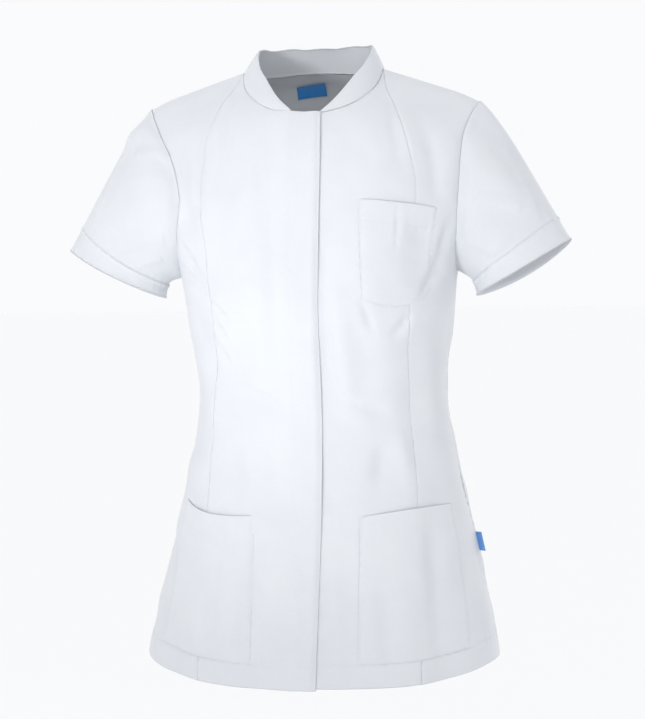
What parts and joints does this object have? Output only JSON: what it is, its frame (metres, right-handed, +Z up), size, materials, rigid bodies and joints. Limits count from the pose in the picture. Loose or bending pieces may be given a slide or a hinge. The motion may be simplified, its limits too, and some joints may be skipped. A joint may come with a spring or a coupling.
{
  "type": "medical tunic",
  "caption": "White short-sleeved medical tunic with an open stand collar, a covered front closing, shaping seams from the neck, a chest pocket and hip pockets, hollow as when worn.",
  "frame": {"origin": "at the base of the neck, in the middle, level with the side ends of the neck seam, where the wearer's neck and shoulders hold the tunic up", "axes": "+Z up along the body, +X to the wearer's left, -Y to the front"},
  "size_m": [0.6043, 0.294, 0.7522],
  "materials": {
    "white_twill": "matt, finely woven polyester-cotton twill",
    "blue_label": "smooth woven label",
    "stud_metal": "pressed, satin"
  },
  "bodies": {
    "root": {"front_right": "white_twill", "front_left": "white_twill", "side_front_right": "white_twill", "side_front_left": "white_twill", "back": "white_twill", "side_back_right": "white_twill", "side_back_left": "white_twill", "sleeve_right": "white_twill", "sleeve_left": "white_twill", "cuff_right": "white_twill", "cuff_left": "white_twill", "collar": "white_twill", "chest_pocket": "white_twill", "pocket_right": "white_twill", "pocket_left": "white_twill", "neck_label": "blue_label", "side_label": "blue_label", "press_stud_1": "stud_metal", "press_stud_2": "stud_metal", "press_stud_3": "stud_metal", "press_stud_4": "stud_metal", "press_stud_5": "stud_metal"}
  },
  "joints": []
}
